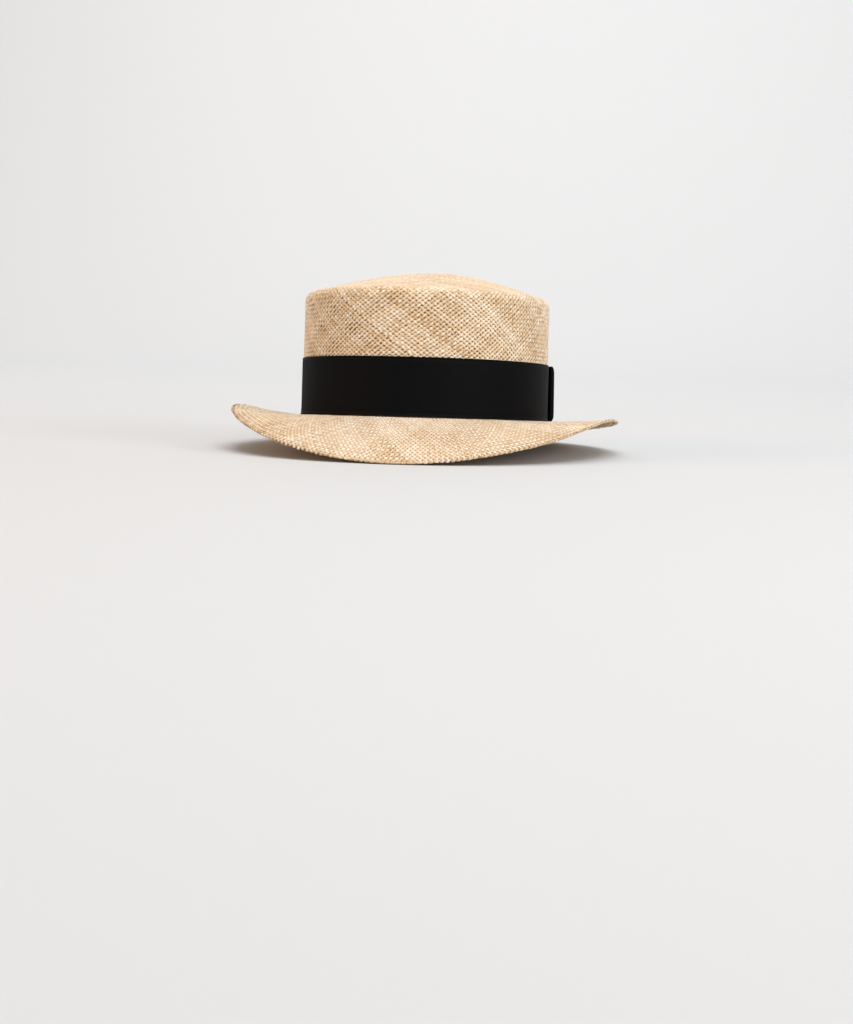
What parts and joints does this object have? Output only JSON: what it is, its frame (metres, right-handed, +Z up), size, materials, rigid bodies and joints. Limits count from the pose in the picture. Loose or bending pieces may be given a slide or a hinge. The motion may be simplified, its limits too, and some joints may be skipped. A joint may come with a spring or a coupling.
{
  "type": "straw boater hat with a dipped brim",
  "caption": "Woven straw hat with an upright oval crown, a domed tip, a brim that dips at the front and a wide black ribbon band with a flat bow, worn on the head.",
  "frame": {"origin": "middle of the hat's box, on the surface that the hat stands on", "axes": "+Z up, -Y towards the front of the hat, +X towards the wearer's left, where the bow is"},
  "size_m": [0.2644, 0.2938, 0.1208],
  "materials": {
    "straw": "plain bias-woven natural straw, lightly stiffened",
    "ribbon": "black ribbed hat ribbon, matte with a soft sheen"
  },
  "bodies": {
    "root": {"crown": "straw", "brim": "straw", "ribbon_band": "ribbon", "bow_loop_front": "ribbon", "bow_loop_rear": "ribbon", "bow_knot": "ribbon"}
  },
  "joints": []
}
